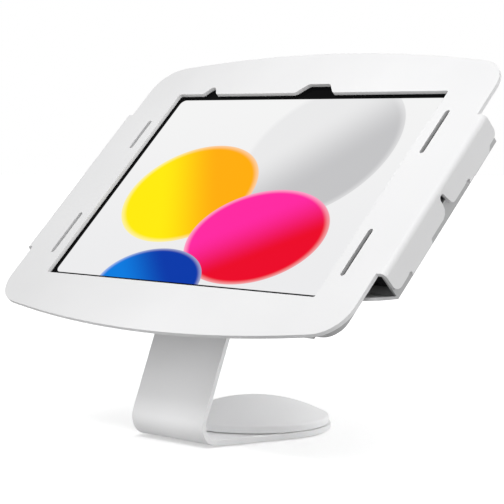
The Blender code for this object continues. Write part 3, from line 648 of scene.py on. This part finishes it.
def make_plate_screws(finish):
    """The four countersunk screws through the square plate, with hexagon sockets."""
    screw = turned(in_mm(SCREW_OUTLINE), 48)
    nothing_selected()
    bpy.ops.mesh.primitive_cylinder_add(vertices=6, radius=SOCKET_RADIUS, depth=SOCKET_DEPTH)
    cut(screw, bpy.context.object)
    rounded_edges(screw, 0.06 * MM, 2, 40)
    turn = Matrix.Rotation(math.pi, 4, "X")
    for number, (side, end) in enumerate(CORNERS, 1):
        place = SCREEN @ Matrix.Translation((side * PLATE_PITCH, end * PLATE_PITCH, -PLATE_BACK)) @ turn
        piece = finished(copy_of(screw), f"socket_screw_{number}", "enclosure", finish["zinc"], place)
        stand_for(f"vesa_screw_{number}")
    bpy.data.objects.remove(screw, do_unlink=True)


def make_lock(finish):
    """The lock's barrel with its round collar, and the plug that the key turns."""
    barrel = turned(in_mm(BARREL_OUTLINE), 96)
    finished(barrel, "lock_collar", "enclosure", finish["chrome"], LOCK)
    stand_for("lock_barrel")

    plug = turned(in_mm(PLUG_OUTLINE), 72)
    cut(plug, slab(*in_mm(KEYWAY), 0.6 * MM, 4))
    rounded_edges(plug, 0.08 * MM, 2, 40)
    finished(plug, "lock_core", "lock", finish["chrome"], LOCK)
    stand_for("lock_plug")


def make_tablet(finish):
    """The tablet's glass and its round-edged shell with a charging port in the right side."""
    glass = slab(*in_mm(GLASS), 17.4 * MM, 12, 0.22 * MM)
    finished(glass, "display_glass_sheet", "enclosure", finish["glass"], SCREEN, 60)
    stand_for("tablet_glass")

    shell = slab(*in_mm(SHELL), 18.0 * MM, 12, 1.7 * MM, 4)
    port = box_piece(*in_mm(PORT))
    select_parts(port, "EDGE", lambda e: lies_along_x(port, e))
    bpy.ops.mesh.bevel(offset=1.25 * MM, segments=5, affect="EDGES")
    bpy.ops.object.mode_set(mode="OBJECT")
    cut(shell, port)
    finished(shell, "tablet_shell", "enclosure", finish["aluminium"], SCREEN, 40)
    stand_for("tablet_housing")


def lies_along_x(piece, edge):
    """Whether an edge runs along x."""
    a, b = (piece.data.vertices[i].co for i in edge.vertices)
    return abs(a.y - b.y) < 1e-6 and abs(a.z - b.z) < 1e-6


def crowned(low, high, corner, crown):
    """A foam piece with round corners and edges, whose front swells a little towards its middle."""
    pad = slab(low, high, corner, 6, FOAM_RIM)
    select_parts(pad, "FACE", lambda f: f.normal.z > 0.99 and abs(f.center.z - high[2]) < 1e-6)
    spare = (corner - FOAM_RIM) / 3
    bpy.ops.mesh.inset(thickness=spare, depth=0)
    bpy.ops.mesh.inset(thickness=spare, depth=crown)
    bpy.ops.object.mode_set(mode="OBJECT")
    return pad


def make_foam(finish):
    """Four pads behind the tablet and four blocks beside it."""
    pad = crowned(*in_mm(REAR_FOAM), 6 * MM, 0.12 * MM)
    block = crowned(*in_mm(SIDE_FOAM), 4 * MM, 0.08 * MM)
    for kind, model, at in (("rear_foam_pad", pad, REAR_FOAM_AT), ("side_foam_block", block, SIDE_FOAM_AT)):
        for number, (side, end) in enumerate(CORNERS, 1):
            place = SCREEN @ Matrix.Translation((side * at[0], end * at[1], 0))
            piece = finished(copy_of(model), f"{kind}_soft_{number}", "enclosure", finish["foam"], place, 50)
            stand_for(f"{kind}_{number}")
        bpy.data.objects.remove(model, do_unlink=True)


# ---------------------------------------------------------------- carried-over nodes


def finish_nodes(finish):
    """Gives every frame node that still shows its finish, by the record's material slot."""
    by_slot = {
        "white_coat": "white",
        # the tray's slot takes the painted shade grey
        "tray_coat": "tray_painted_shade_grey",
        "inner_coat": "inner_white",
        "steel": "steel",
        "zinc": "zinc",
        "glide": "acetal",
        "foam": "foam",
        "rubber": "rubber",
        "aluminium": "aluminium",
        "glass": "glass",
        "chrome": "chrome",
    }
    for part in frame["record"]["subparts"]:
        piece = frame["nodes"][part["node"]]
        piece.data.materials.clear()
        piece.data.materials.append(finish[by_slot[part["material_slot"]]])


# ---------------------------------------------------------------- studio


def area_light(name, place, target, size, power, spread=180):
    """A rectangular lamp that faces a target."""
    lamp = bpy.data.lights.new(name, "AREA")
    lamp.shape = "RECTANGLE"
    lamp.size, lamp.size_y = size
    lamp.energy = power
    lamp.spread = math.radians(spread)
    holder = bpy.data.objects.new(name, lamp)
    bpy.context.scene.collection.objects.link(holder)
    holder.location = place
    holder.rotation_euler = (Vector(target) - Vector(place)).to_track_quat("-Z", "Y").to_euler()


def make_studio():
    """A white room, a pale floor that shines less close to the foot as painted shadow, and four lamps."""
    world = bpy.data.worlds.new("white_room")
    bpy.context.scene.world = world
    world.use_nodes = True
    room = Recipe.of_tree(world.node_tree)
    background = world.node_tree.nodes["Background"]
    background.inputs["Color"].default_value = (1, 1, 1, 1)
    height = room.node("SeparateXYZ", None, {"Vector": room.node("TexCoord", output="Generated")}, "Z")
    inputs = {"Value": height, "From Min": -1.0, "From Max": 1.0, "To Min": ROOM_LOW, "To Max": ROOM_HIGH}
    glow = room.node("MapRange", None, inputs)
    seen = room.node("LightPath", output="Is Camera Ray")
    room.fill(background.inputs["Strength"], glow * (1 - seen) + seen)

    nothing_selected()
    bpy.ops.mesh.primitive_plane_add(size=8, location=(0, 0, -0.0004))
    floor = bpy.context.object
    floor.name = "studio_floor"
    paper = Recipe("studio_paper", roughness=0.9, specular_ior_level=0.1, emission_strength=1.0)
    away = paper.node("VectorMath", {"operation": "LENGTH"}, {0: paper.place()}, "Value")
    # the dimmer glow near the foot is painted shadow round the stand's foot
    near_painted_shade, far = (FOOT_GLOW_PAINTED_SHADE,) * 3, (FLOOR_GLOW,) * 3
    paper.surface(Emission_Color=paper.mixed(paper.smooth(away, 0.05, 0.22), near_painted_shade, far))
    fibre = paper.noise(300, 3)
    paper.surface(Base_Color=paper.mixed(fibre, (0.93, 0.93, 0.93), (0.95, 0.95, 0.95)))
    floor.data.materials.append(paper.material)
    floor.visible_diffuse = False

    middle = SCREEN.translation
    place = middle + SCREEN_NORMAL * KEY_DISTANCE + Vector((KEY_SIDE, 0, 0)) + SCREEN.col[1].to_3d() * KEY_UP
    area_light("key_light", place, place - SCREEN_NORMAL, (KEY_SIZE, KEY_SIZE), KEY_POWER)
    area_light("side_light", (1.6, -0.05, 0.3), (0.1, 0, 0.12), (0.4, 0.4), SIDE_POWER)
    area_light("foot_light", (0.25, 0.5, 0.3), (0.01, 0, 0.01), (0.25, 0.25), FOOT_POWER, 30)
    area_light("arm_light", (-0.3, -0.9, 0.08), (0, -0.07, 0.005), (0.1, 0.1), ARM_POWER, 9)


def make_camera():
    """Looks at the stand from its right front, just above the screen's middle."""
    camera = bpy.data.cameras.new("camera")
    camera.sensor_width = 36
    camera.lens = CAMERA_LENS
    camera.clip_start = 0.05
    camera.clip_end = 20
    holder = bpy.data.objects.new("camera", camera)
    bpy.context.scene.collection.objects.link(holder)
    holder.location = SCREEN.translation + Vector(CAMERA_OFFSET)
    holder.rotation_euler = [math.radians(turn) for turn in CAMERA_TURN]
    bpy.context.scene.camera = holder


def main():
    make_camera()
    make_studio()
    bpy.context.scene.view_settings.view_transform = "Standard"
    finish = make_finishes()
    finish_nodes(finish)
    make_sheets(finish)
    make_covers(finish)
    make_plate_screws(finish)
    make_lock(finish)
    make_tablet(finish)
    make_foam(finish)


main()
